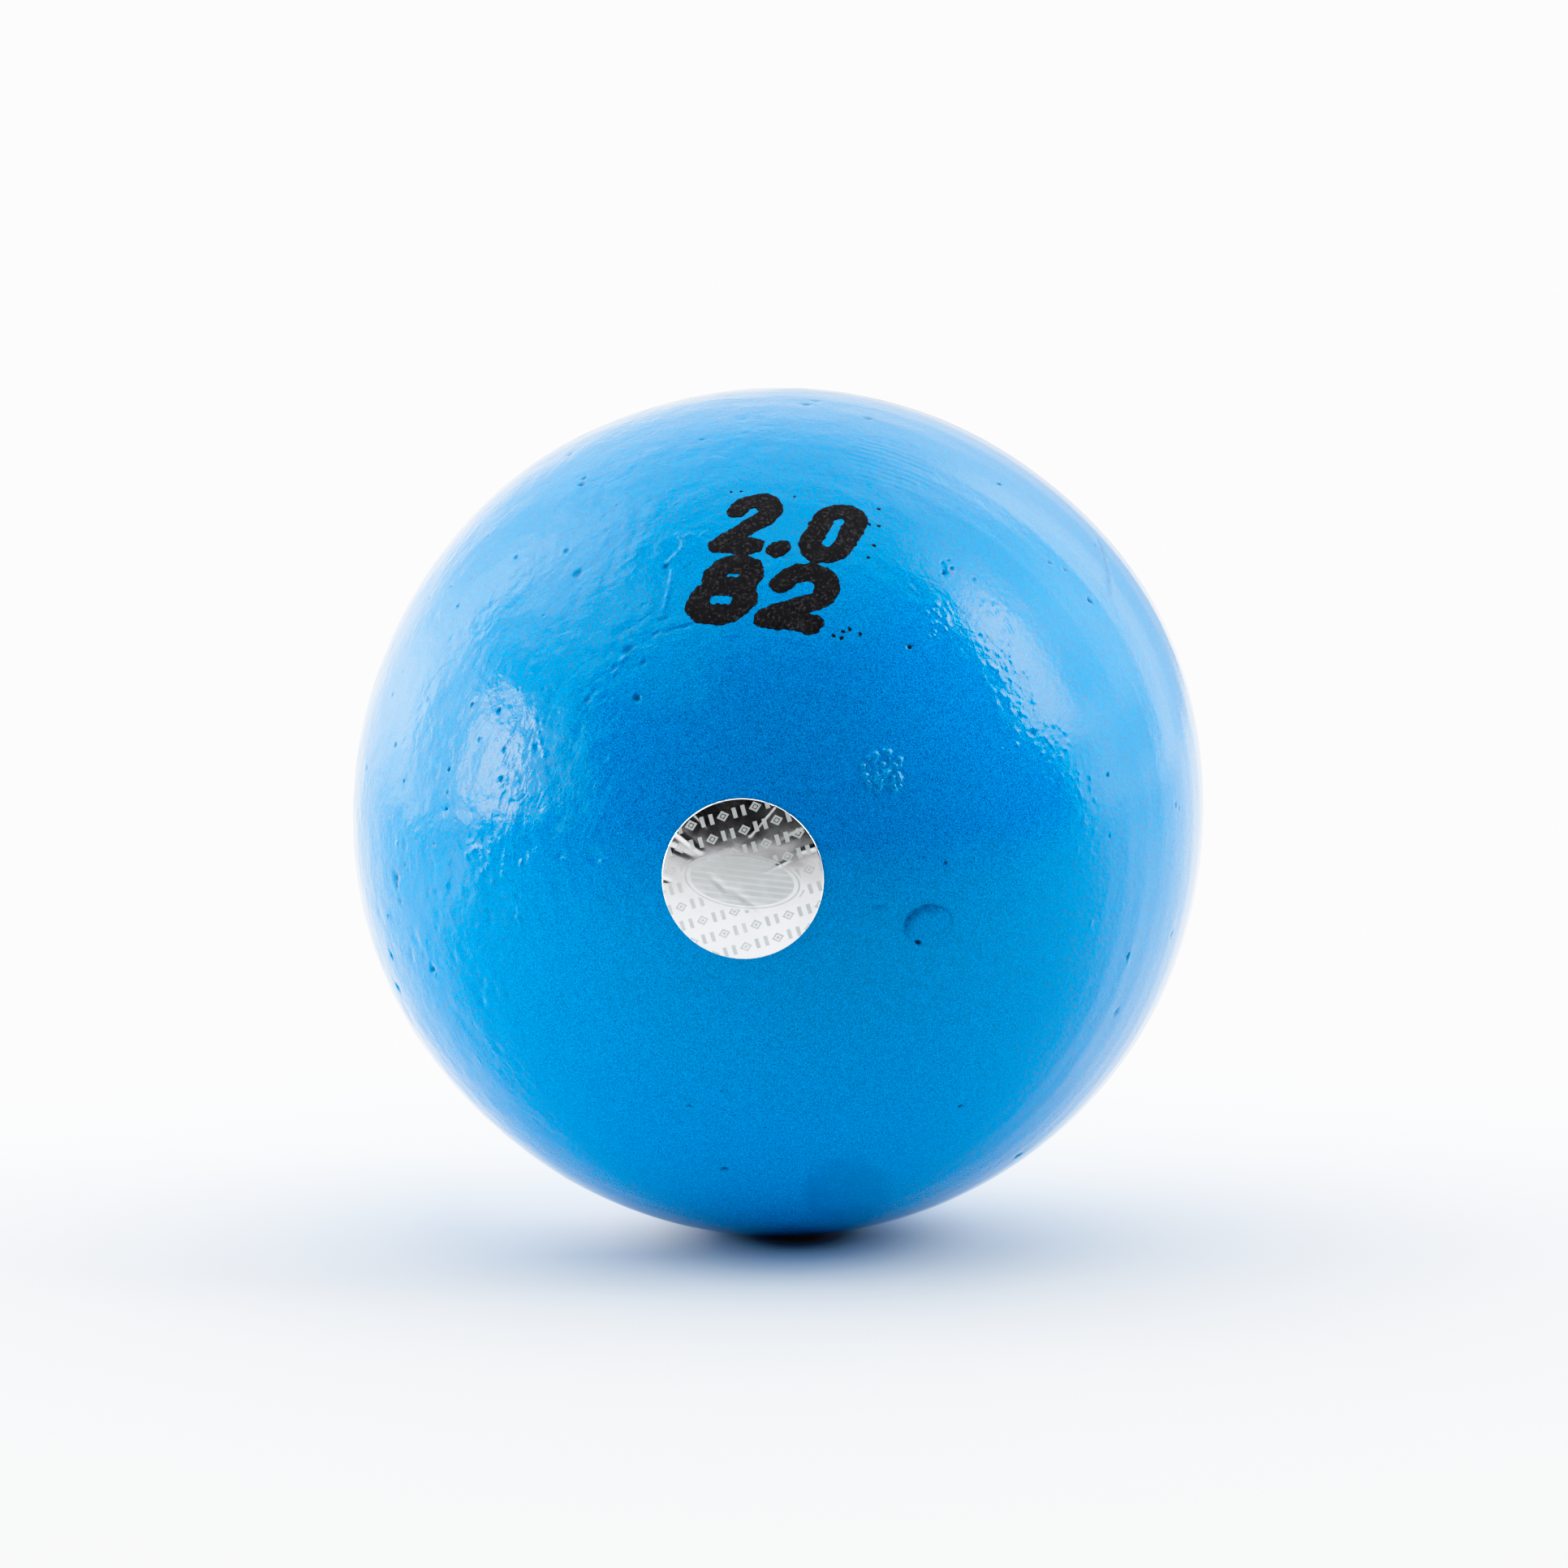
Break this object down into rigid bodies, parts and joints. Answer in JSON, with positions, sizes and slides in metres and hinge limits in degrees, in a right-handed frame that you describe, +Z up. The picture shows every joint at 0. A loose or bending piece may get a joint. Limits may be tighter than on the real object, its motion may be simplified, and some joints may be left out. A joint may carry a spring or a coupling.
{
  "type": "shot put",
  "caption": "Painted cast-iron throwing ball with a plugged weight-adjusting hole, a round foil label and a stamped weight mark, for shot put training.",
  "frame": {"origin": "centre of the ball", "axes": "+Z up as the ball lies in the picture, -Y is the front with the label, +X is to the right seen from the front"},
  "size_m": [0.0818, 0.0819, 0.0818],
  "materials": {
    "grey_iron": "rough-turned grey cast iron",
    "lead": "dull tamped lead",
    "plug_steel": "driven mild-steel plug, dressed flush",
    "red_primer": "matt red-oxide primer",
    "blue_enamel": "thick azure gloss enamel over a rough casting",
    "label_glue": "clear pressure-sensitive adhesive",
    "silver_foil": "wrinkled metallised foil with a pale grey print",
    "black_ink": "heavy black stamping ink"
  },
  "bodies": {
    "root": {"ball_casting": "grey_iron", "lead_slug": "lead", "hole_plug": "plug_steel", "primer_coat": "red_primer", "enamel_coat": "blue_enamel", "label_adhesive": "label_glue", "label_foil": "silver_foil", "weight_stamp": "black_ink"}
  },
  "joints": []
}
